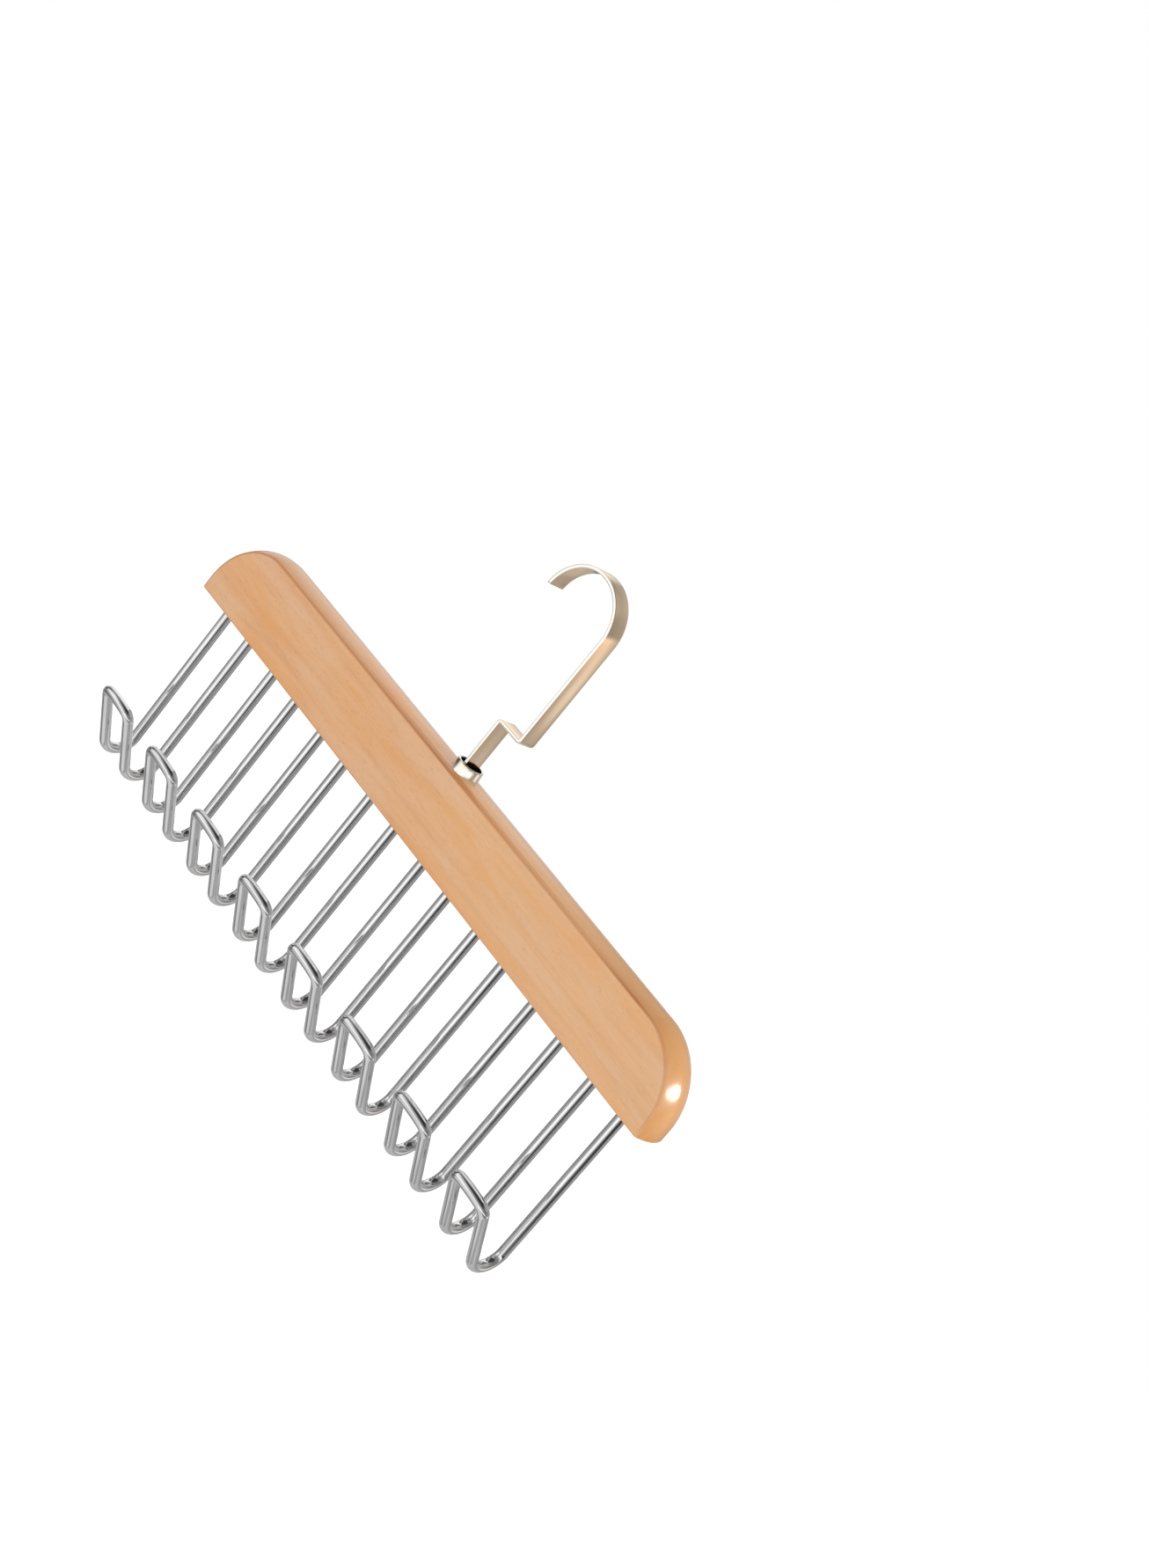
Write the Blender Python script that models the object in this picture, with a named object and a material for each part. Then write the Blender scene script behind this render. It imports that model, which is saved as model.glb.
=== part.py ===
"""Multi-hook hanger: a beech bar with eight chromed wire hooks below, carried by a flat swivel hook.

Metres, +Z up. The bar lies along X and the wire hooks reach forward, along -Y.
The origin is the rail seat: the inside top of the flat hook's arc, where the hanger rests on its rail.
"""
import math

import bmesh
import bpy
from mathutils import Matrix, Vector

# Fits shared by all pieces
FIT_GAP = 0.0003
CUT_OVERRUN = 0.002
MERGE_DISTANCE = 0.000001
TURNED_SIDES = 32

# Wooden bar, with its height and thickness taken at the flat faces, and its middle set off from the swivel axis
BAR_LENGTH = 0.3532
BAR_THICKNESS = 0.0186
BAR_HEIGHT = 0.0354
BAR_CROWN = 0.0020
BAR_END_RADIUS = 0.030
BAR_EDGE_RADIUS = 0.0006
BAR_STATIONS = 8
BAR_END_STEPS = 12
BAR_SHIFT = 0.001

# Wire hooks
HOOK_COUNT = 8
WIRE_DIAMETER = 0.0050
HOOK_WIDTH = 0.0200
END_MARGIN = 0.0165
LEG_HOLE_DEPTH = 0.012
HOOK_DROP = 0.0846
BEND_RADIUS = 0.0084
HOOK_REACH = 0.0325
LIP_RISE = 0.0278
LIP_CORNER_RADIUS = 0.003
LIP_BOW_ANGLE = math.radians(8.5)
WIRE_BEVEL_RESOLUTION = 3
LEG_HOLE_SIDES = 16

# Flat swivel hook, with its heights taken from the bar's top
STRIP_WIDTH = 0.0093
STRIP_THICKNESS = 0.0017
STRIP_EDGE_RADIUS = 0.0003
RAIL_OPENING = 0.0377
ARC_SWEEP = math.radians(178)
ARC_CENTRE_HEIGHT = 0.0826
STEM_OFFSET = 0.0146
JOG_HEIGHT = 0.0291
JOG_BEND_RADIUS = 0.0012

# Collar
COLLAR_RIM_HEIGHT = 0.0059
COLLAR_SEAT_DEPTH = 0.0025
COLLAR_WALL = 0.0011
COLLAR_TAPER = 0.0003
COLLAR_FLOOR = 0.0012
COLLAR_RIM_ROUND = 0.0003
STEM_CLEARANCE = 0.0005

# Bush, pin and washer inside the bar
BUSH_FLANGE_HEIGHT = 0.001
BUSH_FLANGE_OVERHANG = 0.0005
BUSH_LENGTH = 0.014
BUSH_WALL = 0.0011
BARB_HEIGHT = 0.0004
BARB_COUNT = 4
PIN_DIAMETER = 0.004
PIN_HEAD_HEIGHT = 0.002
PIN_HEAD_CLEARANCE = 0.0005
PIN_SLOT_DEPTH = 0.0014
WASHER_OVERHANG = 0.0009
WASHER_THICKNESS = 0.0008
RIVET_OVERHANG = 0.001
RIVET_HEIGHT = 0.0012
RIVET_CHAMFER = 0.0006
BORE_END_ROOM = 0.001

# Places worked out from the sizes above
ARC_RADIUS = (RAIL_OPENING + STRIP_THICKNESS) / 2
SWIVEL_X = ARC_RADIUS - STEM_OFFSET
ARC_CENTRE_Z = -RAIL_OPENING / 2
BAR_TOP_Z = ARC_CENTRE_Z - ARC_CENTRE_HEIGHT
BAR_BOTTOM_Z = BAR_TOP_Z - BAR_HEIGHT
HOOK_PITCH = (BAR_LENGTH - 2 * END_MARGIN - HOOK_WIDTH) / (HOOK_COUNT - 1)

COLLAR_BORE_RADIUS = math.hypot(STRIP_WIDTH, STRIP_THICKNESS) / 2 + STEM_CLEARANCE
COLLAR_RADIUS = COLLAR_BORE_RADIUS + COLLAR_WALL + COLLAR_TAPER
COLLAR_SEAT_Z = BAR_TOP_Z - COLLAR_SEAT_DEPTH
COLLAR_BOTTOM_Z = COLLAR_SEAT_Z + FIT_GAP
COLLAR_FLOOR_Z = COLLAR_BOTTOM_Z + COLLAR_FLOOR
COLLAR_RIM_Z = BAR_TOP_Z + COLLAR_RIM_HEIGHT

PIN_RADIUS = PIN_DIAMETER / 2
BUSH_BORE_RADIUS = PIN_RADIUS + FIT_GAP
BUSH_RADIUS = BUSH_BORE_RADIUS + BUSH_WALL
BARB_RADIUS = BUSH_RADIUS + BARB_HEIGHT
COLLAR_HOLE_RADIUS = BARB_RADIUS + FIT_GAP
BUSH_FLANGE_RADIUS = COLLAR_HOLE_RADIUS + BUSH_FLANGE_OVERHANG
BUSH_FLANGE_Z = COLLAR_FLOOR_Z + FIT_GAP
BUSH_TOP_Z = BUSH_FLANGE_Z + BUSH_FLANGE_HEIGHT
BUSH_BOTTOM_Z = BUSH_FLANGE_Z - BUSH_LENGTH
PIN_HEAD_RADIUS = COLLAR_BORE_RADIUS - PIN_HEAD_CLEARANCE
PIN_HEAD_Z = BUSH_TOP_Z + FIT_GAP
PIN_TOP_Z = PIN_HEAD_Z + PIN_HEAD_HEIGHT
PIN_SLOT_Z = PIN_TOP_Z - PIN_SLOT_DEPTH
WASHER_TOP_Z = BUSH_BOTTOM_Z - FIT_GAP
WASHER_BOTTOM_Z = WASHER_TOP_Z - WASHER_THICKNESS
RIVET_TOP_Z = WASHER_BOTTOM_Z - FIT_GAP
RIVET_BOTTOM_Z = RIVET_TOP_Z - RIVET_HEIGHT
BORE_BOTTOM_Z = RIVET_BOTTOM_Z - BORE_END_ROOM


def clear_scene():
    """Removes what the scene holds."""
    for obj in list(bpy.data.objects):
        bpy.data.objects.remove(obj, do_unlink=True)


def make_material(name, colour, roughness, metallic=0.0):
    """One plain surface finish."""
    material = bpy.data.materials.new(name)
    material.use_nodes = True
    shader = material.node_tree.nodes["Principled BSDF"]
    shader.inputs["Base Color"].default_value = (*colour, 1.0)
    shader.inputs["Roughness"].default_value = roughness
    shader.inputs["Metallic"].default_value = metallic
    material.diffuse_color = (*colour, 1.0)
    return material


def place(obj, location=(0, 0, 0), parent=None):
    """Links an object at a place given from its parent, or from the world."""
    bpy.context.collection.objects.link(obj)
    obj.parent = parent
    obj.location = location
    return obj


def mesh_object(name, bm, material=None):
    """Turns a bmesh into an object with smooth faces and sharp corners."""
    mesh = bpy.data.meshes.new(name)
    bmesh.ops.recalc_face_normals(bm, faces=bm.faces)
    bm.to_mesh(mesh)
    bm.free()
    mesh.shade_smooth()
    mesh.set_sharp_from_angle(angle=math.radians(35))
    if material:
        mesh.materials.append(material)
    return bpy.data.objects.new(name, mesh)


def turned(name, profile, material=None):
    """A turned piece about its own Z axis, from the corners (radius, height) of half its section.

    A section that starts on the axis also ends there, and any other closes on itself.
    """
    bm = bmesh.new()
    corners = [bm.verts.new((radius, 0, height)) for radius, height in profile]
    joined = list(zip(corners, corners[1:]))
    if profile[0][0] > 0:
        joined.append((corners[-1], corners[0]))
    edges = [bm.edges.new(pair) for pair in joined]
    bmesh.ops.spin(bm, geom=corners + edges, cent=(0, 0, 0), axis=(0, 0, 1), angle=2 * math.pi,
                   steps=TURNED_SIDES, use_merge=True)
    bmesh.ops.remove_doubles(bm, verts=bm.verts, dist=MERGE_DISTANCE)
    return mesh_object(name, bm, material)


def cutter(obj):
    """Marks an object as a tool that only cuts."""
    obj.hide_render = True
    obj.display_type = "WIRE"
    return obj


def cut(obj, tool):
    """Cuts a tool's shape out of an object."""
    boolean = obj.modifiers.new(tool.name, "BOOLEAN")
    boolean.operation = "DIFFERENCE"
    boolean.object = tool
    boolean.solver = "EXACT"


def bar_outline(swell):
    """Corners (x, z) of the bar's front outline, grown by the crown's swell at its ends and top."""
    half = BAR_LENGTH / 2 - BAR_CROWN + swell
    top = BAR_HEIGHT + swell
    radius = min(BAR_END_RADIUS, BAR_HEIGHT - 2 * BAR_EDGE_RADIUS) + swell
    right = [(half, 0)]
    for step in range(BAR_END_STEPS + 1):
        angle = math.pi / 2 * step / BAR_END_STEPS
        right.append((half - radius + radius * math.cos(angle), top - radius + radius * math.sin(angle)))
    return right + [(-x, z) for x, z in reversed(right)]


def make_bar(parent, material):
    """The wooden bar: flat faces, crowned top and ends, drilled for the wires and bored for the swivel."""
    bm = bmesh.new()
    loops = []
    for station in range(BAR_STATIONS + 1):
        share = 2 * station / BAR_STATIONS - 1
        swell = BAR_CROWN * (1 - share * share)
        ring = [bm.verts.new((x, share * BAR_THICKNESS / 2, z)) for x, z in bar_outline(swell)]
        loops.append(ring)
    for near, far in zip(loops, loops[1:]):
        for index in range(len(near)):
            after = (index + 1) % len(near)
            bm.faces.new((near[index], near[after], far[after], far[index]))
    bm.faces.new(loops[0])
    bm.faces.new(loops[-1])
    bar = place(mesh_object("wooden_bar", bm, material), (BAR_SHIFT, 0, BAR_BOTTOM_Z), parent)

    ease = bar.modifiers.new("eased edges", "BEVEL")
    ease.width = BAR_EDGE_RADIUS
    ease.segments = 2
    ease.limit_method = "ANGLE"
    ease.angle_limit = math.radians(40)

    cut(bar, place(leg_hole_cutter(), (BAR_SHIFT, 0, BAR_BOTTOM_Z), parent))
    cut(bar, place(swivel_bore_cutter(), (0, 0, 0), parent))


def hook_places():
    """Centres of the wire hooks along the bar, from its middle."""
    return [HOOK_PITCH * (index - (HOOK_COUNT - 1) / 2) for index in range(HOOK_COUNT)]


def leg_hole_cutter():
    """The blind holes in the bar's underside, one for each wire leg."""
    bm = bmesh.new()
    depth = LEG_HOLE_DEPTH + CUT_OVERRUN
    radius = WIRE_DIAMETER / 2 + FIT_GAP
    for centre in hook_places():
        for side in (-1, 1):
            middle = Vector((centre + side * HOOK_WIDTH / 2, 0, LEG_HOLE_DEPTH - depth / 2))
            bmesh.ops.create_cone(bm, cap_ends=True, segments=LEG_HOLE_SIDES, radius1=radius, radius2=radius,
                                  depth=depth, matrix=Matrix.Translation(middle))
    return cutter(mesh_object("leg holes", bm))


def swivel_bore_cutter():
    """The stepped bore in the bar's top: a seat for the collar over a bore for the bush."""
    seat = COLLAR_RADIUS + FIT_GAP
    bore = COLLAR_HOLE_RADIUS
    top = BAR_TOP_Z + BAR_CROWN + CUT_OVERRUN
    profile = [(0, top), (seat, top), (seat, COLLAR_SEAT_Z), (bore, COLLAR_SEAT_Z), (bore, BORE_BOTTOM_Z),
               (0, BORE_BOTTOM_Z)]
    return cutter(turned("swivel bore", profile))


def wire_centreline():
    """Points along one wire hook, from its left leg's upper end to its right leg's, from the bar's underside."""
    centre_y = -BEND_RADIUS
    centre_z = BEND_RADIUS - HOOK_DROP
    lip = Vector((-HOOK_REACH, LIP_RISE - HOOK_DROP))
    to_lip = lip - Vector((centre_y, centre_z))
    turn = 2 * math.pi - math.atan2(to_lip.y, to_lip.x) - math.acos(BEND_RADIUS / to_lip.length)
    rise = Vector((0, -math.sin(turn), -math.cos(turn)))

    left_x = -HOOK_WIDTH / 2
    half = [Vector((left_x, 0, LEG_HOLE_DEPTH - FIT_GAP))]
    bend_steps = 9
    for step in range(bend_steps + 1):
        angle = turn * step / bend_steps
        half.append(Vector((left_x, centre_y + BEND_RADIUS * math.cos(angle),
                            centre_z - BEND_RADIUS * math.sin(angle))))

    corner_turn = math.pi / 2 - LIP_BOW_ANGLE
    corner_radius = min(LIP_CORNER_RADIUS, HOOK_WIDTH / 2)
    corner_start = Vector((left_x, lip.x, lip.y)) - rise * corner_radius * math.tan(corner_turn / 2)
    corner_steps = 4
    for step in range(corner_steps + 1):
        angle = corner_turn * step / corner_steps
        sideways = Vector((corner_radius * (1 - math.cos(angle)), 0, 0))
        half.append(corner_start + sideways + rise * corner_radius * math.sin(angle))

    corner_end = half[-1]
    bow_radius = -corner_end.x / math.sin(LIP_BOW_ANGLE)
    bow_steps = 2
    bow = []
    for step in range(1, bow_steps + 1):
        angle = LIP_BOW_ANGLE * (1 - step / bow_steps)
        lift = bow_radius * (math.cos(angle) - math.cos(LIP_BOW_ANGLE))
        bow.append(Vector((-bow_radius * math.sin(angle), corner_end.y, corner_end.z)) + rise * lift)
    left = half + bow
    right = [Vector((-point.x, point.y, point.z)) for point in reversed(left[:-1])]
    return left + right


def make_wire_hooks(parent, material):
    """Eight wire hooks that share one curve."""
    curve = bpy.data.curves.new("wire_hook", "CURVE")
    curve.dimensions = "3D"
    curve.bevel_depth = WIRE_DIAMETER / 2
    curve.bevel_resolution = WIRE_BEVEL_RESOLUTION
    curve.use_fill_caps = True
    points = wire_centreline()
    spline = curve.splines.new("POLY")
    spline.points.add(len(points) - 1)
    for spot, point in zip(spline.points, points):
        spot.co = (*point, 1.0)
    spline.use_smooth = True
    curve.materials.append(material)
    for index, centre in enumerate(hook_places(), start=1):
        place(bpy.data.objects.new(f"wire_hook_{index}", curve), (BAR_SHIFT + centre, 0, BAR_BOTTOM_Z), parent)


def bent_line(start, heading, moves):
    """Centreline (point, heading) of a bent strip, from moves of a length, or of a radius, an angle and steps."""
    point = Vector(start)
    line = [(point.copy(), heading)]
    for move in moves:
        if len(move) == 1:
            point = point + move[0] * Vector((math.cos(heading), math.sin(heading)))
            line.append((point.copy(), heading))
            continue
        radius, angle, steps = move
        side = math.copysign(1, angle)
        centre = point + side * radius * Vector((-math.sin(heading), math.cos(heading)))
        for step in range(1, steps + 1):
            now = heading + angle * step / steps
            point = centre + side * radius * Vector((math.sin(now), -math.cos(now)))
            line.append((point.copy(), now))
        heading = heading + angle
    return line


def make_strip(material):
    """The flat hook: lower stem, jog to one side, upper stem and arc, bent from one strip."""
    foot_z = PIN_SLOT_Z + FIT_GAP
    jog_z = BAR_TOP_Z + JOG_HEIGHT
    quarter = math.pi / 2
    moves = [
        (jog_z - JOG_BEND_RADIUS - foot_z,),
        (JOG_BEND_RADIUS, -quarter, 4),
        (STEM_OFFSET - 2 * JOG_BEND_RADIUS,),
        (JOG_BEND_RADIUS, quarter, 4),
        (ARC_CENTRE_Z - jog_z - JOG_BEND_RADIUS,),
        (ARC_RADIUS, ARC_SWEEP, 36),
    ]
    line = bent_line((SWIVEL_X, foot_z), quarter, moves)
    half = STRIP_THICKNESS / 2
    normals = [Vector((-math.sin(heading), math.cos(heading))) for point, heading in line]
    inner = [point + half * normal for (point, heading), normal in zip(line, normals)]
    outer = [point - half * normal for (point, heading), normal in zip(line, normals)]

    bm = bmesh.new()
    near = -STRIP_WIDTH / 2
    outline = [bm.verts.new((point.x, near, point.y)) for point in inner + outer[::-1]]
    face = bm.faces.new(outline)
    grown = bmesh.ops.extrude_face_region(bm, geom=[face])
    moved = [item for item in grown["geom"] if isinstance(item, bmesh.types.BMVert)]
    bmesh.ops.translate(bm, verts=moved, vec=(0, STRIP_WIDTH, 0))
    strip = place(mesh_object("hook_strip", bm, material))

    ease = strip.modifiers.new("eased edges", "BEVEL")
    ease.width = STRIP_EDGE_RADIUS
    ease.segments = 1
    ease.limit_method = "ANGLE"
    ease.angle_limit = math.radians(60)


def make_collar(parent, material):
    """The polished cup on the bar's top, with a floor that the bush's flange holds down."""
    rim_in = COLLAR_BORE_RADIUS + COLLAR_RIM_ROUND
    rim_side = COLLAR_RADIUS - COLLAR_TAPER
    rim_out = rim_side - COLLAR_RIM_ROUND
    shoulder = COLLAR_RIM_Z - COLLAR_RIM_ROUND
    profile = [
        (COLLAR_HOLE_RADIUS, COLLAR_BOTTOM_Z),
        (COLLAR_RADIUS, COLLAR_BOTTOM_Z),
        (COLLAR_RADIUS, BAR_TOP_Z + BAR_CROWN),
        (rim_side, shoulder),
        (rim_out, COLLAR_RIM_Z),
        (rim_in, COLLAR_RIM_Z),
        (COLLAR_BORE_RADIUS, shoulder),
        (COLLAR_BORE_RADIUS, COLLAR_FLOOR_Z),
        (COLLAR_HOLE_RADIUS, COLLAR_FLOOR_Z),
    ]
    place(turned("collar", profile, material), (0, 0, 0), parent)


def make_bush(parent, material):
    """The flanged bush that is pushed into the bar, with ring barbs that grip the wood."""
    profile = [
        (BUSH_BORE_RADIUS, BUSH_BOTTOM_Z),
        (BUSH_BORE_RADIUS, BUSH_TOP_Z),
        (BUSH_FLANGE_RADIUS, BUSH_TOP_Z),
        (BUSH_FLANGE_RADIUS, BUSH_FLANGE_Z),
        (BUSH_RADIUS, BUSH_FLANGE_Z),
    ]
    barb_pitch = (COLLAR_SEAT_Z - BUSH_BOTTOM_Z) / (BARB_COUNT + 1)
    for index in range(BARB_COUNT):
        barb_z = COLLAR_SEAT_Z - barb_pitch * (index + 1)
        profile.append((BUSH_RADIUS, barb_z + BARB_HEIGHT))
        profile.append((BARB_RADIUS, barb_z + BARB_HEIGHT))
        profile.append((BUSH_RADIUS, barb_z - BARB_HEIGHT))
    profile.append((BUSH_RADIUS, BUSH_BOTTOM_Z))
    place(turned("barbed_bush", profile, material), (0, 0, 0), parent)


def make_pin(material):
    """The swivel pin: a slotted head that holds the strip, a shank in the bush and a riveted lower head."""
    rivet = PIN_RADIUS + RIVET_OVERHANG
    profile = [
        (0, PIN_TOP_Z),
        (PIN_HEAD_RADIUS, PIN_TOP_Z),
        (PIN_HEAD_RADIUS, PIN_HEAD_Z),
        (PIN_RADIUS, PIN_HEAD_Z),
        (PIN_RADIUS, RIVET_TOP_Z),
        (rivet, RIVET_TOP_Z),
        (rivet, RIVET_BOTTOM_Z + RIVET_CHAMFER),
        (rivet - RIVET_CHAMFER, RIVET_BOTTOM_Z),
        (0, RIVET_BOTTOM_Z),
    ]
    pin = place(turned("swivel_pin", profile, material), (SWIVEL_X, 0, 0))

    bm = bmesh.new()
    bmesh.ops.create_cube(bm, size=1)
    width = STRIP_THICKNESS + 2 * FIT_GAP
    length = 2 * (PIN_HEAD_RADIUS + CUT_OVERRUN)
    height = PIN_SLOT_DEPTH + CUT_OVERRUN
    bmesh.ops.scale(bm, vec=(width, length, height), verts=bm.verts)
    slot = place(mesh_object("strip slot", bm), (SWIVEL_X, 0, PIN_SLOT_Z + height / 2))
    cut(pin, cutter(slot))


def make_washer(material):
    """The washer that the pin's riveted head bears on."""
    inner = PIN_RADIUS + FIT_GAP
    outer = inner + WASHER_OVERHANG
    profile = [(inner, WASHER_BOTTOM_Z), (outer, WASHER_BOTTOM_Z), (outer, WASHER_TOP_Z), (inner, WASHER_TOP_Z)]
    place(turned("pin_washer", profile, material), (SWIVEL_X, 0, 0))


def main():
    clear_scene()
    beech = make_material("lacquered beech", (0.730, 0.420, 0.215), 0.38)
    chrome = make_material("chromed wire", (0.80, 0.80, 0.81), 0.10, 1.0)
    champagne = make_material("champagne strip", (0.66, 0.52, 0.39), 0.30, 1.0)
    polished = make_material("polished collar", (0.88, 0.78, 0.66), 0.12, 1.0)
    steel = make_material("plain steel", (0.55, 0.56, 0.58), 0.40, 1.0)
    brass = make_material("turned brass", (0.72, 0.55, 0.26), 0.35, 1.0)

    bar_axis = place(bpy.data.objects.new("bar swivel axis", None), (SWIVEL_X, 0, 0))
    make_bar(bar_axis, beech)
    make_wire_hooks(bar_axis, chrome)
    make_collar(bar_axis, polished)
    make_bush(bar_axis, brass)
    make_strip(champagne)
    make_pin(steel)
    make_washer(steel)


main()
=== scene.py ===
# %% [markdown]
# A hanger for belts and ties. A beech bar carries eight chromed wire hooks below it, and above it one flat
# metal hook that turns in the bar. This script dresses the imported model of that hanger. It keeps the place and
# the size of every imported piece, and gives each one a finer shape and a finish that is worth looking at.
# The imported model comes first, because every piece below is put where that model says.

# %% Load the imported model
import math

import bmesh
import bpy
from mathutils import Matrix, Vector


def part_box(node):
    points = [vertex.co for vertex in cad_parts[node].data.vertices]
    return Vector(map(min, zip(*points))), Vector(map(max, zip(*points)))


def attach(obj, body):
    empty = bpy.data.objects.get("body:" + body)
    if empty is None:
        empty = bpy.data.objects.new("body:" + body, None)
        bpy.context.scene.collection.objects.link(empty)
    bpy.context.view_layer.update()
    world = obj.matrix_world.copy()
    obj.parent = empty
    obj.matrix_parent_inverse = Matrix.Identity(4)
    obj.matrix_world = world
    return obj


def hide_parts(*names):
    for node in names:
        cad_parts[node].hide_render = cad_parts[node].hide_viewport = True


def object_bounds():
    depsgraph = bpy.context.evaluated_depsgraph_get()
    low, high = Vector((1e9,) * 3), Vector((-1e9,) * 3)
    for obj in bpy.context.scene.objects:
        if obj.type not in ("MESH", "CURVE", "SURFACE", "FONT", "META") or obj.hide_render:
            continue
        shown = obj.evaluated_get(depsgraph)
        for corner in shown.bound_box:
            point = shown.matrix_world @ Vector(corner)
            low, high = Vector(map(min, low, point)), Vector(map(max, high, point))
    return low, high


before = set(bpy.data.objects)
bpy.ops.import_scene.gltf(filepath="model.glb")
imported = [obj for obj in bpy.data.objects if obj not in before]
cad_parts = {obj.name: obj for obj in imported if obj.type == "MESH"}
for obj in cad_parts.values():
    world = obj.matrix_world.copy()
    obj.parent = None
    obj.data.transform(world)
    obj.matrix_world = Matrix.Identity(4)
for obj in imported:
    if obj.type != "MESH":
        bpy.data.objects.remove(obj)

packed_low, packed_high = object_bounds()
print("packed nodes:", ", ".join(sorted(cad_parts)))
print("packed size in mm:", [round(1000 * side, 1) for side in packed_high - packed_low])

# %% [markdown]
# The sizes of the hanger are written once, in metres, and named for its pieces. They are the sizes that the
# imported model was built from, so a piece that is made again here falls exactly on the one that it replaces.
# The origin is the inside top of the flat hook's arc, where the hanger rests on its rail.

# %% Sizes of the hanger
BAR_LENGTH = 0.3532
BAR_THICKNESS = 0.0186
BAR_HEIGHT = 0.0354
BAR_CROWN = 0.0020
BAR_END_RADIUS = 0.030
BAR_EDGE_RADIUS = 0.0006
BAR_SHIFT = 0.001

HOOK_COUNT = 8
WIRE_DIAMETER = 0.0050
HOOK_WIDTH = 0.0200
END_MARGIN = 0.0165
LEG_HOLE_DEPTH = 0.012
LEG_END_GAP = 0.0003
HOOK_DROP = 0.0846
BEND_RADIUS = 0.0084
HOOK_REACH = 0.0325
LIP_RISE = 0.0278
LIP_CORNER_RADIUS = 0.003
LIP_BOW = math.radians(8.5)

STRIP_WIDTH = 0.0093
STRIP_THICKNESS = 0.0017
STRIP_EDGE_RADIUS = 0.0003
ARC_RADIUS = 0.0197
ARC_SWEEP = math.radians(178)
ARC_CENTRE_Z = -0.01885
ARC_CENTRE_HEIGHT = 0.0826
STEM_OFFSET = 0.0146
JOG_HEIGHT = 0.0291
JOG_BEND_RADIUS = 0.0012

SWIVEL_X = ARC_RADIUS - STEM_OFFSET
BAR_MIDDLE_X = SWIVEL_X + BAR_SHIFT
BAR_TOP_Z = ARC_CENTRE_Z - ARC_CENTRE_HEIGHT
BAR_BOTTOM_Z = BAR_TOP_Z - BAR_HEIGHT
HOOK_PITCH = (BAR_LENGTH - 2 * END_MARGIN - HOOK_WIDTH) / (HOOK_COUNT - 1)
wood_low, wood_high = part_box("wooden_bar")
print("bar in mm:", [round(1000 * side, 2) for side in wood_high - wood_low])
print("hook pitch in mm:", round(1000 * HOOK_PITCH, 2))

# %% [markdown]
# The camera stands in front of the hanger, to its right and a little above it, and is rolled to one side, so
# that the hanger hangs across the picture. A camera's place can be found by trial, but here it was worked out
# from some hundred points of the photograph. Its axes are written out of two angles and a roll, because three
# numbers that mean something are easier to change than a rotation matrix.

# %% Camera
CAMERA_PLACE = (0.60337, -0.80215, 0.18268)
CAMERA_AZIMUTH = math.radians(34.563)
CAMERA_ELEVATION = math.radians(14.388)
CAMERA_ROLL = math.radians(39.717)
CAMERA_LENS = 57.83
NEAR_CLIP, FAR_CLIP = 0.01, 20


def camera_turn(azimuth, elevation, roll):
    """The camera's rotation, from where it stands and how far it is rolled."""
    back = Vector((math.sin(azimuth) * math.cos(elevation), -math.cos(azimuth) * math.cos(elevation),
                   math.sin(elevation)))
    level = Vector((math.cos(azimuth), math.sin(azimuth), 0))
    upright = back.cross(level)
    right = math.cos(roll) * level + math.sin(roll) * upright
    up = math.cos(roll) * upright - math.sin(roll) * level
    return Matrix((right, up, back)).transposed()


camera = bpy.data.objects.new("camera", bpy.data.cameras.new("camera"))
camera.data.lens = CAMERA_LENS
camera.data.clip_start, camera.data.clip_end = NEAR_CLIP, FAR_CLIP
camera.matrix_world = Matrix.Translation(CAMERA_PLACE) @ camera_turn(
    CAMERA_AZIMUTH, CAMERA_ELEVATION, CAMERA_ROLL).to_4x4()
bpy.context.scene.collection.objects.link(camera)
bpy.context.scene.camera = camera
print("camera looks along", [round(v, 3) for v in -camera.matrix_world.col[2].to_3d()])

# %% [markdown]
# Colours are easiest to write as they look on a screen, from 0 to 255. Blender's shaders work with linear
# light, so each one is turned to linear values as it is used. The other helpers add one shader node each, with
# its inputs or its stops, and give back its output. That keeps every finish below short enough to read.

# %% Helpers for finishes


def seen(red, green, blue):
    """A colour as it looks on a screen, from 0 to 255, as the linear values that shaders use (sRGB)."""
    shares = [channel / 255 for channel in (red, green, blue)]
    linear = [share / 12.92 if share <= 0.04045 else ((share + 0.055) / 1.055) ** 2.4 for share in shares]
    return linear + [1.0]


def add(tree, kind, inputs=None, **settings):
    """A shader node. Each input is a plain value or another node's output."""
    made = tree.nodes.new(kind)
    for name, value in settings.items():
        setattr(made, name, value)
    for name, value in (inputs or {}).items():
        if isinstance(value, bpy.types.NodeSocket):
            tree.links.new(value, made.inputs[name])
        else:
            made.inputs[name].default_value = value
    return made


def ramp(tree, factor, stops):
    """A colour ramp, from (place, colour) stops in rising order. Returns its colour output."""
    made = add(tree, "ShaderNodeValToRGB", {"Fac": factor})
    elements = made.color_ramp.elements
    elements[0].position, elements[0].color = stops[0]
    elements[1].position, elements[1].color = stops[-1]
    for place, colour in stops[1:-1]:
        elements.new(place).color = colour
    return made.outputs["Color"]


def grey(level):
    """A linear grey."""
    return (level, level, level, 1.0)


def blend(tree, factor, first, second):
    """Two colours mixed by a factor. Returns the colour output."""
    made = tree.nodes.new("ShaderNodeMix")
    made.data_type = "RGBA"
    # A Mix node has its sockets for every data type at once. These are the ones for colours.
    for index, value in ((0, factor), (6, first), (7, second)):
        if isinstance(value, bpy.types.NodeSocket):
            tree.links.new(value, made.inputs[index])
        else:
            made.inputs[index].default_value = value
    return made.outputs[2]


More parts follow.
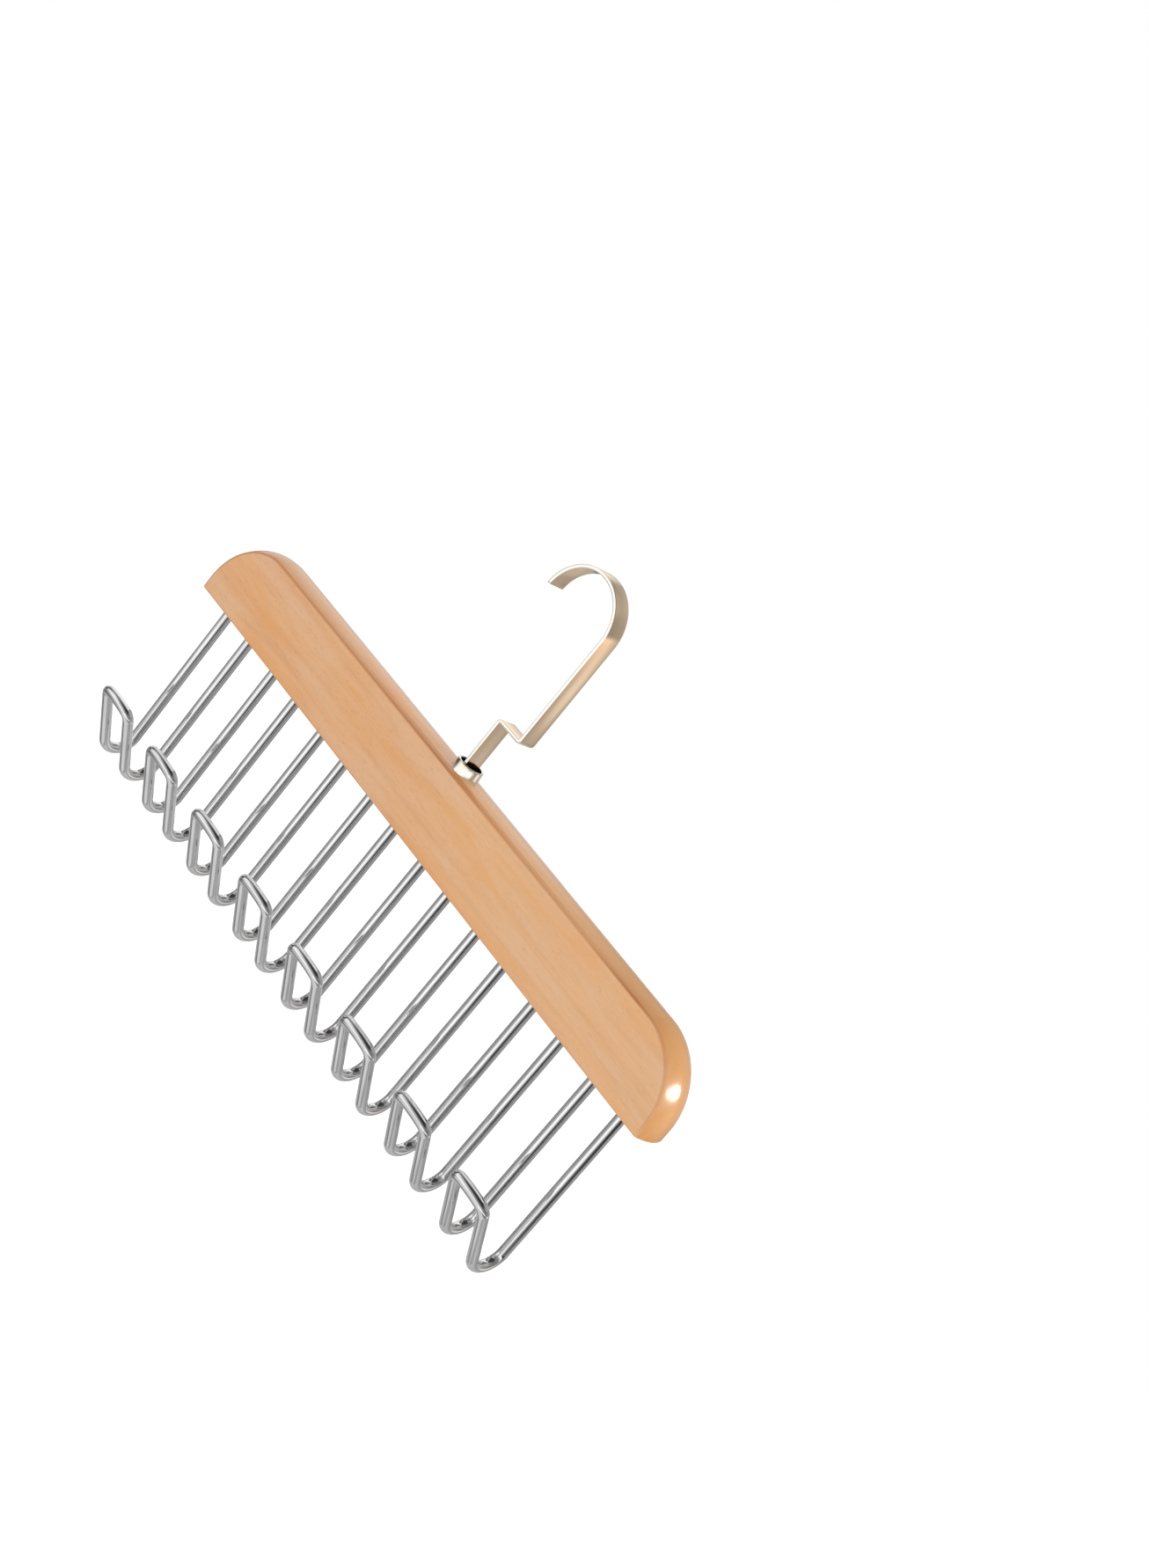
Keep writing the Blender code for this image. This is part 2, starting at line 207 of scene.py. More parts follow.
def spread(tree, value, low, high, to_low=0.0, to_high=1.0):
    """A value moved smoothly from one span to another. Returns the output."""
    spans = {"Value": value, "From Min": low, "From Max": high, "To Min": to_low, "To Max": to_high}
    return add(tree, "ShaderNodeMapRange", spans, interpolation_type="SMOOTHSTEP").outputs["Result"]


def math_node(tree, operation, *values):
    """A Math node with plain values or other nodes' outputs. Returns its output."""
    return add(tree, "ShaderNodeMath", dict(enumerate(values)), operation=operation).outputs[0]


print("beech on a screen", (225, 172, 130), "is linear", [round(v, 3) for v in seen(225, 172, 130)[:3]])

# %% [markdown]
# Polished metal has hardly any colour of its own: it shows the room. The wires of this hanger are light in the
# middle and dark at both sides, which is a bright studio front between darker sides. So the world is plain
# white for the camera and an even level for matt surfaces, and only mirrored rays meet a painted studio. It is
# made of eight rings, one above the other, each a ramp of light and dark round the compass. The wires, the
# flat hook and the collar mirror it at different heights, so each of them gets its stripes from a ring of its
# own. The brown and tan stretches are the light that beech throws back on the collar. A handful of real lamps
# and cards could do all this too, but rings are easier to tune, one at a time.

# %% World
MATT_LEVEL = 0.80
BROWN, TAN, PALE_TAN = (0.16, 0.07, 0.03, 1.0), (0.38, 0.29, 0.20, 1.0), (1.05, 0.88, 0.76, 1.0)

# Each ring is a list of (degrees, level). 0 degrees is in front of the hanger and 90 at its right. A ring ends
# at 180 on the level that it starts from at -180, so that there is no seam behind the hanger.
DEEP_RING = [(-180, 0.55), (-120, 0.56), (-98, 0.36), (-72, 0.13), (-65, 0.22), (-56, 0.68), (-43, 0.68),
             (0, 0.72), (50, 0.78), (86, 0.74), (96, 0.52), (105, 0.36), (112, 0.42), (124, 0.62), (150, 0.54),
             (180, 0.55)]
FLOOR_RING = [(-180, 0.45), (-120, 0.45), (-98, 0.30), (-72, 0.12), (-56, 0.18), (-48, 0.42), (-40, 0.75),
              (-32, 0.92), (-20, 0.95), (0, 0.72), (50, 0.60), (80, 0.40), (100, 0.46), (112, 0.40),
              (122, 0.42), (140, 0.44), (160, 0.40), (180, 0.45)]
WIRE_RING = [(-180, 0.34), (-150, 0.18), (-120, 0.16), (-100, 0.42), (-85, 0.40), (-66, 0.22), (-58, 0.27),
             (-44, 0.46), (-30, 0.50), (-18, 0.60), (-6, 1.28), (12, 1.25), (26, 1.00), (38, 0.54), (50, 0.26),
             (60, 0.03), (86, 0.03), (98, 0.12), (118, 0.36), (132, 0.44), (145, 0.40), (165, 0.29),
             (180, 0.34)]
STRIP_RING = [(-180, 0.44), (-160, 0.70), (-146, 0.85), (-130, 0.40), (-100, 0.45), (-66, 0.30), (-50, 0.80),
              (-41, 1.20), (-34, 1.75), (-27, 1.10), (-18, 0.80), (-6, 1.20), (26, 0.98), (38, 0.54),
              (50, 0.30), (60, 0.08), (84, 0.08), (98, 0.16), (118, 0.50), (136, 0.48), (143, 0.92),
              (149, 0.92), (155, 0.38), (180, 0.44)]
CUP_RING = [(-180, 0.60), (-146, 0.85), (-132, BROWN), (-70, BROWN), (-60, 0.28), (-50, 0.76), (-38, 1.00),
            (-28, 1.08), (0, 1.15), (30, 1.28), (74, 1.28), (84, 0.92), (95, 0.50), (104, TAN), (113, TAN),
            (122, 0.66), (131, PALE_TAN), (141, PALE_TAN), (151, 0.55), (160, 0.46), (180, 0.60)]
HIGH_RING = [(-180, 0.55), (-160, 0.45), (-150, 0.42), (-141, 0.85), (-110, 1.1), (-86, 0.6), (-77, 0.05),
             (-64, 0.05), (-54, 0.95), (-42, 1.2), (-32, 1.05), (-22, 0.65), (20, 0.7), (50, 0.3), (90, 0.2),
             (130, 0.3), (180, 0.55)]
SCREEN_RING = [(-180, 0.55), (-150, 0.42), (-140, 1.10), (-120, 1.0), (-86, 0.4), (-77, 0.06), (-66, 0.10),
               (-56, 1.0), (-48, 0.95), (-40, 0.60), (-30, 0.40), (-15, 0.30), (40, 0.25), (90, 0.2),
               (130, 0.3), (180, 0.55)]
TOP_RING = [(-180, 0.45), (-148, 0.30), (-139, 0.60), (-130, 1.0), (-116, 1.15), (-100, 0.65), (-84, 0.42),
            (-60, 0.16), (-50, 0.05), (-40, 0.04), (40, 0.05), (90, 0.3), (130, 0.5), (180, 0.45)]
# DEEP_RING is the lowest. Each of the others takes over from the one below it between two heights, which are
# the sines of the angle above the horizon.
RINGS = [(-0.62, -0.54, FLOOR_RING), (-0.41, -0.36, WIRE_RING), (-0.285, -0.255, STRIP_RING),
         (-0.225, -0.185, CUP_RING), (-0.06, 0.06, HIGH_RING), (0.16, 0.25, SCREEN_RING),
         (0.50, 0.62, TOP_RING)]


def ring_colour(tree, turn, levels):
    """Light round the compass. A level is a grey, or a colour where it is a tuple."""
    return ramp(tree, turn, [((degrees + 180) / 360, level if isinstance(level, tuple) else grey(level))
                             for degrees, level in levels])


world = bpy.data.worlds.new("studio")
bpy.context.scene.world = world
world.use_nodes = True
world.cycles.sampling_method = "NONE"
tree = world.node_tree
tree.nodes.clear()
way = add(tree, "ShaderNodeSeparateXYZ", {"Vector": add(tree, "ShaderNodeTexCoord").outputs["Generated"]})
forward = math_node(tree, "MULTIPLY", way.outputs["Y"], -1.0)
compass = math_node(tree, "ARCTAN2", way.outputs["X"], forward)
turn = math_node(tree, "MULTIPLY_ADD", compass, 1 / (2 * math.pi), 0.5)
room = ring_colour(tree, turn, DEEP_RING)
for low, high, levels in RINGS:
    room = blend(tree, spread(tree, way.outputs["Z"], low, high), room, ring_colour(tree, turn, levels))
rays = add(tree, "ShaderNodeLightPath")
mirrored = math_node(tree, "MAXIMUM", rays.outputs["Is Glossy Ray"], rays.outputs["Is Transmission Ray"])
lit = blend(tree, mirrored, grey(MATT_LEVEL), room)
shown = blend(tree, rays.outputs["Is Camera Ray"], lit, grey(1.0))
backdrop = add(tree, "ShaderNodeBackground", {"Color": shown, "Strength": 1.0})
add(tree, "ShaderNodeOutputWorld", {"Surface": backdrop.outputs[0]})
print("world:", len(RINGS) + 1, "rings,", len(tree.nodes), "nodes, matt level", MATT_LEVEL)

# %% [markdown]
# The beech is lit from the front by one broad soft lamp, so that its face is a little lighter than its top,
# and from the right by another, which lifts the bar's end. Neither of them shows in the metal, which has the
# painted studio for that. An oval lamp gives the lacquered end its one white spot. It has to show in mirrored
# rays to do so, and light linking keeps it off all pieces but the bar. The pale floor lies well below the
# hanger. It glows a little for the camera alone, so that it looks as white as the backdrop.

# %% Lamps and floor
FLOOR_DROP = 0.35
FLOOR_Z = packed_low.z - FLOOR_DROP
FLOOR_RADIUS = 1.6
FLOOR_LEVEL = 0.82
FLOOR_GLOW = 0.45
GLINT_SPOT = Vector((0.1783, -0.0037, -0.1155))  # the place on the bar's end that the white spot is on
GLINT_WAY = Vector((0.744, 0.562, 0.362))  # the way from there to the lamp
GLINT_DISTANCE = 1.5


def lamp(name, place, aim, size, power, in_mirrors=False, height=None, tilt=0.0):
    """A lamp that shines towards an aim: soft and round, or an oval one that shows in mirrored rays alone."""
    data = bpy.data.lights.new(name, "AREA")
    data.shape, data.size, data.size_y, data.energy = "ELLIPSE", size, height or size, power
    made = bpy.data.objects.new(name, data)
    turned = (Vector(aim) - Vector(place)).to_track_quat("-Z", "Y").to_matrix().to_4x4()
    made.matrix_world = Matrix.Translation(place) @ turned @ Matrix.Rotation(tilt, 4, "Z")
    made.visible_camera = False
    made.visible_glossy = in_mirrors
    made.visible_diffuse = not in_mirrors
    bpy.context.scene.collection.objects.link(made)
    return made


middle = (packed_low + packed_high) / 2
lamp("front_lamp", place=(0.10, -1.80, 0.35), aim=middle, size=1.5, power=6)
lamp("end_lamp", place=(1.50, 0.50, 0.30), aim=middle, size=1.0, power=9.6)
glint_lamp = lamp("glint_lamp", place=GLINT_SPOT + GLINT_DISTANCE * GLINT_WAY, aim=GLINT_SPOT, size=1.15,
                  power=27, in_mirrors=True, height=0.44, tilt=math.radians(-16))
glint_takers = bpy.data.collections.new("glint_takers")
glint_lamp.light_linking.receiver_collection = glint_takers

bm = bmesh.new()
bmesh.ops.create_circle(bm, cap_ends=True, segments=64, radius=FLOOR_RADIUS)
bmesh.ops.translate(bm, verts=bm.verts, vec=(middle.x, middle.y, FLOOR_Z))
floor_mesh = bpy.data.meshes.new("floor")
bm.to_mesh(floor_mesh)
bm.free()
floor = bpy.data.objects.new("floor", floor_mesh)
bpy.context.scene.collection.objects.link(floor)
floor.visible_glossy = False

pale = bpy.data.materials.new("pale_floor")
pale.use_nodes = True
tree = pale.node_tree
tree.nodes.clear()
matt = add(tree, "ShaderNodeBsdfDiffuse", {"Color": grey(FLOOR_LEVEL)})
glow = math_node(tree, "MULTIPLY", add(tree, "ShaderNodeLightPath").outputs["Is Camera Ray"], FLOOR_GLOW)
white = add(tree, "ShaderNodeEmission", {"Color": grey(1.0), "Strength": glow})
both = add(tree, "ShaderNodeAddShader", {0: matt.outputs[0], 1: white.outputs[0]})
add(tree, "ShaderNodeOutputMaterial", {"Surface": both.outputs[0]})
floor_mesh.materials.append(pale)
print("floor", round(1000 * (packed_low.z - FLOOR_Z)), "mm below the hooks")

# %% [markdown]
# Every new piece goes the same way: a bmesh is shaped by Blender's operators, its normals are set outward, and
# it becomes an object at the origin whose place is in its mesh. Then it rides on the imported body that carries
# it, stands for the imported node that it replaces, and names the finish it takes.

# %% Helper for pieces


def piece(name, bm, finishes, body, replaced, sharp=35):
    """Makes a piece from a bmesh, smooth but for its sharp corners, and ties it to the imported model."""
    bmesh.ops.recalc_face_normals(bm, faces=bm.faces)
    mesh = bpy.data.meshes.new(name)
    bm.to_mesh(mesh)
    bm.free()
    mesh.shade_smooth()
    mesh.set_sharp_from_angle(angle=math.radians(sharp))
    for finish in finishes:
        mesh.materials.append(finish)
    made = bpy.data.objects.new(name, mesh)
    bpy.context.scene.collection.objects.link(made)
    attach(made, body)
    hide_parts(replaced)
    return made


def face_count(made):
    """How many faces a piece has, for the printed lines."""
    return len(made.data.polygons)


# %% [markdown]
# Beech is a pale, even wood. What one sees under the lacquer are fine streaks along the grain, longer ones
# that are a little warmer or paler, and many short dark flecks. All are noise that is stretched along the
# bar, each at its own scale. Stretching the coordinates, not the object, keeps the end grain right: where
# the bar is cut across, the same noise shows as fine dots. Painted light makes the wood paler towards the
# bar's right end, and the wood is warmer where the surface turns away from the two broad faces. Painted
# shade, a soft dark fade, runs up to the eased edges, stronger in some stretches than in others. The mesh
# carries two attributes for this, eased and around. The lacquer is a thin clear coat over it all.

# %% Beech finish


def stretched_noise(tree, stretch, detail, roughness=0.5, distortion=0.0):
    """Noise on the object's own coordinates, with a stretch along each axis. Returns its value."""
    spots = add(tree, "ShaderNodeMapping", {"Vector": add(tree, "ShaderNodeTexCoord").outputs["Object"],
                                            "Scale": stretch})
    return add(tree, "ShaderNodeTexNoise", {"Vector": spots.outputs[0], "Scale": 1.0, "Detail": detail,
                                            "Roughness": roughness, "Distortion": distortion}).outputs[0]


def beech(name):
    """Lacquered beech, with painted shade that darkens it along the eased edges."""
    material = bpy.data.materials.new(name)
    material.use_nodes = True
    tree = material.node_tree
    shader = tree.nodes["Principled BSDF"]
    streaks = stretched_noise(tree, (11, 230, 210), 4, 0.55, 0.6)
    patches = stretched_noise(tree, (15, 105, 90), 3, 0.5, 0.8)
    flecks = stretched_noise(tree, (330, 2300, 1700), 1, 0.4)
    pores = stretched_noise(tree, (700, 5200, 5200), 2, 0.6)

    wood = ramp(tree, streaks, [(0.28, seen(218, 159, 110)), (0.46, seen(225, 169, 119)),
                                (0.60, seen(229, 175, 126)), (0.75, seen(222, 165, 116))])
    wood = blend(tree, spread(tree, patches, 0.49, 0.66, 0.0, 0.65), wood, seen(228, 162, 98))
    wood = blend(tree, spread(tree, patches, 0.47, 0.31, 0.0, 0.60), wood, seen(226, 181, 142))
    wood = blend(tree, spread(tree, flecks, 0.60, 0.74, 0.0, 0.22), wood, seen(190, 126, 76))
    wood = blend(tree, spread(tree, pores, 0.62, 0.80, 0.0, 0.18), wood, seen(190, 130, 84))

    # Broad changes along the bar and round it.
    eased = add(tree, "ShaderNodeAttribute", attribute_name="eased").outputs["Fac"]
    around = add(tree, "ShaderNodeAttribute", attribute_name="around").outputs["Fac"]
    spot = add(tree, "ShaderNodeTexCoord").outputs["Object"]
    along = add(tree, "ShaderNodeSeparateXYZ", {"Vector": spot}).outputs["X"]
    # Painted light: the wood is made paler towards the bar's right end, as if more light fell there.
    wood = blend(tree, spread(tree, along, -0.03, 0.06, 0.0, 0.18), wood, seen(236, 200, 160))
    warm = math_node(tree, "MULTIPLY", spread(tree, around, 0.2, 0.8),
                     spread(tree, along, -0.08, 0.08, 0.35, 0.75))
    wood = blend(tree, warm, wood, seen(208, 146, 76))

    # Painted shade at the edges, and how strong it is from the left end to the right.
    edge_shade_strength = ramp(tree, spread(tree, along, -0.18, 0.19), [
        (0.0, grey(0.60)), (0.30, grey(0.65)), (0.50, grey(0.90)), (0.62, grey(0.50)), (0.88, grey(0.45)),
        (0.955, grey(0.95)), (0.985, grey(0.50)), (1.0, grey(0.35))])
    wood = blend(tree, math_node(tree, "MULTIPLY", eased, edge_shade_strength), wood, seen(180, 113, 58))
    tree.links.new(wood, shader.inputs["Base Color"])
    tree.links.new(spread(tree, streaks, 0.3, 0.7, 0.46, 0.60), shader.inputs["Roughness"])
    for quality, value in (("Specular IOR Level", 0.15), ("Coat Weight", 0.9), ("Coat Roughness", 0.18),
                           ("Coat IOR", 1.45)):
        shader.inputs[quality].default_value = value
    relief = add(tree, "ShaderNodeBump", {"Height": streaks, "Strength": 0.02, "Distance": 0.0004})
    tree.links.new(relief.outputs[0], shader.inputs["Normal"])
    return material


lacquered_beech = beech("lacquered_beech")
print("beech:", len(lacquered_beech.node_tree.nodes), "nodes")

# %% [markdown]
# The bar is one straight length of beech. In a workshop it is planed, its top corners are rounded on a
# spindle, and its edges are eased. The same steps make it here: a flat face whose two upper corners are
# rounded by a vertex bevel, drawn back through the bar's thickness in stations that swell a little, which
# crowns the top, and then eased edges. A thin inset border keeps the shading of the two broad faces flat up to
# the easing. The stations and the rounding are fine, because a white spot on the end would show each facet.

# %% Wooden bar
BAR_STATIONS = 20
ROUNDING_STEPS = 44
EASING_STEPS = 5
INSET_BORDER = 0.0004
SHARP_EDGE = math.radians(40)
BROAD_AREA = 0.005  # in square metres, to tell the two broad faces from all others
SQUARE_ON = 0.999
# The next two set the painted shade along the eased edges.
BAND_FADE = 0.8  # the fade's value where it meets the eased edge
UNDERSIDE_EDGE_SHADE = 0.2  # the eased edges of the underside are paler


def end_face(geometry):
    """The one face in what an extrude or a spin gives back."""
    return next(item for item in geometry if isinstance(item, bmesh.types.BMFace))


def drawn_off(bm, face):
    """Extrudes a face with its edges and corners, so that no wall is left inside, and returns the new one."""
    return end_face(bmesh.ops.extrude_face_region(bm, geom=[face, *face.edges, *face.verts])["geom"])


def bar_blank():
    """The bar before it is drilled."""
    bm = bmesh.new()
    half = BAR_LENGTH / 2 - BAR_CROWN
    corners = [bm.verts.new((x, -BAR_THICKNESS / 2, z)) for x, z in
               ((-half, 0), (half, 0), (half, BAR_HEIGHT), (-half, BAR_HEIGHT))]
    bm.faces.new(corners)
    bmesh.ops.bevel(bm, geom=corners[2:], offset=BAR_END_RADIUS, affect="VERTICES", segments=ROUNDING_STEPS,
                    profile=0.5, material=-1)
    bm.faces.ensure_lookup_table()
    face = bm.faces[0]
    swell = 0.0
    for station in range(1, BAR_STATIONS + 1):
        share = 2 * station / BAR_STATIONS - 1
        grown = BAR_CROWN * (1 - share * share)
        face = drawn_off(bm, face)
        bmesh.ops.translate(bm, verts=face.verts, vec=(0, BAR_THICKNESS / BAR_STATIONS, 0))
        bmesh.ops.scale(bm, verts=face.verts, vec=((half + grown) / (half + swell), 1,
                                                   (BAR_HEIGHT + grown) / (BAR_HEIGHT + swell)))
        swell = grown
    bmesh.ops.recalc_face_normals(bm, faces=bm.faces)
    for name in ("eased", "around"):
        bm.verts.layers.float.new(name)
    edge_shade, around = bm.verts.layers.float["eased"], bm.verts.layers.float["around"]
    sharp = [edge for edge in bm.edges if edge.calc_face_angle(0) > SHARP_EDGE]
    eased = bmesh.ops.bevel(bm, geom=sharp, offset=BAR_EDGE_RADIUS, affect="EDGES", segments=EASING_STEPS,
                            profile=0.5, material=-1)
    # Painted shade: a fade that darkens towards both sides of the bar's thickness, full on the eased edges, lighter on
    # those of the underside, and none on the two broad faces.
    for vert in bm.verts:
        vert[edge_shade] = BAND_FADE * (2 * vert.co.y / BAR_THICKNESS) ** 2
    for vert in eased["verts"]:
        vert[edge_shade] = 1.0 if vert.co.z > BAR_EDGE_RADIUS else UNDERSIDE_EDGE_SHADE
    broad = [side for side in bm.faces if abs(side.normal.y) > SQUARE_ON and side.calc_area() > BROAD_AREA]
    bmesh.ops.inset_individual(bm, faces=broad, thickness=INSET_BORDER, use_even_offset=True)
    for vert in {vert for side in broad for vert in side.verts}:
        vert[edge_shade] = 0.0
    bm.normal_update()
    for vert in bm.verts:
        vert[around] = 1 - abs(vert.normal.y)
    bmesh.ops.translate(bm, verts=bm.verts, vec=(BAR_MIDDLE_X, 0, BAR_BOTTOM_Z))
    return bm


wooden_bar = piece("beech_bar", bar_blank(), [lacquered_beech], "bar", "wooden_bar", sharp=60)
glint_takers.objects.link(wooden_bar)
wooden_bar.visible_glossy = False  # The photograph's metal mirrors a studio, and no wood.
print("bar blank:", face_count(wooden_bar), "faces")

# %% [markdown]
# The bar is drilled sixteen times from below for the wire ends, and bored in two steps from above for the
# collar and the swivel. A drill leaves a round hole, so each tool is a plain round bar, and a Boolean takes
# it out of the wood. The result is kept as the bar's own mesh and the tools are thrown away, so that the
# piece stays a single mesh. The holes are hardly wider than the wires, because the real ones are pressed in.

# %% Drill the bar
HOLE_PLAY = 0.0001
SEAT_PLAY = 0.00015
SEAT_ROOM = 0.0003
PIN_ROOM = 0.001
DRILL_OVERRUN = 0.002
SEAT_OVERRUN = 0.004
BORED_SHARP_DEGREES = 38
collar_low, collar_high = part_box("collar")
bush_low, bush_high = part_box("barbed_bush")
pin_low, pin_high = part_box("swivel_pin")
hook_places = [BAR_MIDDLE_X + HOOK_PITCH * (index - (HOOK_COUNT - 1) / 2) for index in range(HOOK_COUNT)]


def round_bar(bm, x, low, high, radius, segments):
    """Adds an upright round bar to a bmesh."""
    where = Matrix.Translation((x, 0, (low + high) / 2))
    bmesh.ops.create_cone(bm, cap_ends=True, segments=segments, radius1=radius, radius2=radius, depth=high - low,
                          matrix=where)


def drill(wood, bm):
    """Takes a bmesh of tools out of a piece for good."""
    mesh = bpy.data.meshes.new("tool")
    bm.to_mesh(mesh)
    bm.free()
    tool = bpy.data.objects.new("tool", mesh)
    bpy.context.scene.collection.objects.link(tool)
    boring = wood.modifiers.new("boring", "BOOLEAN")
    boring.operation, boring.solver, boring.object = "DIFFERENCE", "EXACT", tool
    done = bpy.data.meshes.new_from_object(wood.evaluated_get(bpy.context.evaluated_depsgraph_get()))
    wood.modifiers.remove(boring)
    wood.data = done
    bpy.data.objects.remove(tool)


bm = bmesh.new()
for place in hook_places:
    for side in (-1, 1):
        round_bar(bm, place + side * HOOK_WIDTH / 2, BAR_BOTTOM_Z - DRILL_OVERRUN,
                  BAR_BOTTOM_Z + LEG_HOLE_DEPTH, WIRE_DIAMETER / 2 + HOLE_PLAY, segments=24)
drill(wooden_bar, bm)
seat_radius = (collar_high.x - collar_low.x) / 2 + SEAT_PLAY
bush_radius = (bush_high.y - bush_low.y) / 2
bm = bmesh.new()
round_bar(bm, SWIVEL_X, collar_low.z - SEAT_ROOM, BAR_TOP_Z + SEAT_OVERRUN, seat_radius, segments=64)
drill(wooden_bar, bm)
bm = bmesh.new()
round_bar(bm, SWIVEL_X, pin_low.z - PIN_ROOM, collar_low.z, bush_radius, segments=48)
drill(wooden_bar, bm)
wooden_bar.data.shade_smooth()
wooden_bar.data.set_sharp_from_angle(angle=math.radians(BORED_SHARP_DEGREES))
print("bar drilled:", face_count(wooden_bar), "faces,", len(wooden_bar.data.materials), "finishes")

# %% [markdown]
# The wires are drawn steel with bright chrome. Chrome takes almost all of its look from the studio, so the
# finish has to get only a few things right: a cool light grey, a slight haze, and the faint lines that the
# drawing die leaves along the wire. Those lines follow the wire round its bends, so they can't come from the
# object's coordinates. Each wire carries an attribute, drawn, that holds the place across its section and the
# length along it, and noise that is stretched along that length gives the lines. The flat hook is satin, and
# its edges take a paler copy of that finish as a painted highlight. The collar is polished outside, and within
# it is rougher and painted dark as shade. So each of them takes two finishes.

# %% Metal finishes


def drawn_noise(tree, across, along, detail=2):
    """Noise that follows a drawn piece, from its own attribute. Returns its value."""
    place = add(tree, "ShaderNodeAttribute", attribute_name="drawn")
    spots = add(tree, "ShaderNodeMapping", {"Vector": place.outputs["Vector"], "Scale": (across, across, along)})
    return add(tree, "ShaderNodeTexNoise", {"Vector": spots.outputs[0], "Scale": 1.0, "Detail": detail,
                                            "Roughness": 0.55}).outputs[0]


def drawn_lines(across, along):
    """Noise along a drawn piece, for a finish to add to its own tree."""
    return lambda tree: drawn_noise(tree, across, along)


def turned_lines(*stretch):
    """Noise on a turned piece, for a finish to add to its own tree."""
    return lambda tree: stretched_noise(tree, stretch, 2)


def metal(name, low, high, lines, cloud, haze, relief):
    """A metal finish between two colours. Fine lines give its haze and relief, slow clouds its colour."""
    material = bpy.data.materials.new(name)
    material.use_nodes = True
    tree = material.node_tree
    shader = tree.nodes["Principled BSDF"]
    fine, slow = lines(tree), cloud(tree)
    colour = ramp(tree, slow, [(0.30, low), (0.70, high)])
    tree.links.new(colour, shader.inputs["Base Color"])
    shader.inputs["Metallic"].default_value = 1.0
    tree.links.new(spread(tree, fine, 0.30, 0.70, haze[0], haze[1]), shader.inputs["Roughness"])
    bump = add(tree, "ShaderNodeBump", {"Height": fine, "Strength": relief, "Distance": 0.0001})
    tree.links.new(bump.outputs[0], shader.inputs["Normal"])
    return material


chrome = metal("bright_chrome_wire", seen(222, 222, 224), seen(236, 236, 236),
               lines=drawn_lines(4200, 40), cloud=drawn_lines(300, 60), haze=(0.08, 0.12), relief=0.03)
champagne = metal("champagne_satin", seen(247, 218, 186), seen(252, 224, 192),
                  lines=drawn_lines(5200, 60), cloud=drawn_lines(180, 50), haze=(0.12, 0.18), relief=0.04)
# A paler copy of the satin finish for the strip's narrow edges, a painted highlight.
champagne_painted_highlight = metal("champagne_painted_highlight", seen(252, 244, 232), seen(254, 248, 238),
                       lines=drawn_lines(5200, 60), cloud=drawn_lines(180, 50), haze=(0.12, 0.18), relief=0.04)
pale_gold = metal("pale_gold_polish", seen(247, 239, 225), seen(251, 243, 230),
                  lines=turned_lines(500, 500, 9000), cloud=turned_lines(220, 220, 220), haze=(0.08, 0.13), relief=0.06)
brass = metal("turned_brass", seen(196, 160, 92), seen(222, 188, 120),
              lines=turned_lines(400, 400, 7000), cloud=turned_lines(300, 300, 300), haze=(0.22, 0.36), relief=0.3)
# A rougher gold for the collar's inside, painted dark as shade.
gold_painted_shade = metal("gold_painted_shade", seen(70, 56, 44), seen(92, 74, 58),
                  lines=turned_lines(500, 500, 9000), cloud=turned_lines(300, 300, 300), haze=(0.40, 0.55), relief=0.1)
# Steel painted dark as the shade in the cup, where the pin's head shows.
steel = metal("turned_steel_painted_shade", seen(96, 97, 100), seen(130, 132, 136),
              lines=turned_lines(400, 400, 7000), cloud=turned_lines(300, 300, 300), haze=(0.24, 0.38), relief=0.3)
metals = (chrome, champagne, champagne_painted_highlight, pale_gold, brass, gold_painted_shade, steel)
print("metal finishes:", ", ".join(finish.name for finish in metals))

# %% [markdown]
# A wire is drawn round a path: one end face is pulled along straight runs and turned through bends, and
# leaves the wire's skin behind it. That is how a wire bender works too. A curve with a bevel would be quicker,
# but the extrude and spin operators keep every ring square to the path and let each ring note how far along
# the wire it is.

# %% Helpers for drawn pieces


def start_drawing(bm, face):
    """Notes the place across the section on the first face of a drawn piece."""
    drawn = bm.verts.layers.float_vector.new("drawn")
    middle = face.calc_center_median()
    for vert in face.verts:
        vert[drawn] = (vert.co.x - middle.x, vert.co.y - middle.y, 0)
    return drawn


def pull(bm, drawn, face, way, length):
    """Pulls the end face straight on and returns the new end face."""
    face = drawn_off(bm, face)
    bmesh.ops.translate(bm, verts=face.verts, vec=way * length)
    for vert in face.verts:
        vert[drawn] = vert[drawn] + Vector((0, 0, length))
    return face


def bend(bm, drawn, face, centre, axis, angle, steps):
    """Turns the end face round a bend and returns the new end face."""
    radius = (face.calc_center_median() - centre).length
    for _ in range(steps):
        spun = bmesh.ops.spin(bm, geom=[face, *face.edges, *face.verts], cent=centre, axis=axis,
                              angle=angle / steps, steps=1)
        face = end_face(spun["geom_last"])
        for vert in face.verts:
            vert[drawn] = vert[drawn] + Vector((0, 0, radius * angle / steps))
    return face


print("helpers ready:", ", ".join(helper.__name__ for helper in (start_drawing, pull, bend)))

# %% [markdown]
# Each wire hook is one length of wire. Both ends stand in the bar, the legs hang straight down, turn forward
# through a little less than half a circle and rise again, and a crossbar with two tight corners joins them.
# The crossbar bows up slightly, as the tight corners leave it. The path is the same for all eight, so one
# function makes it. Only its place along the bar differs, and where the noise of its finish starts.

# %% Wire hooks
WIRE_SIDES = 24
BEND_STEPS, CORNER_STEPS, BOW_STEPS = 26, 14, 10
LINES_APART = 0.5
DOWN, RIGHT = Vector((0, 0, -1)), Vector((1, 0, 0))


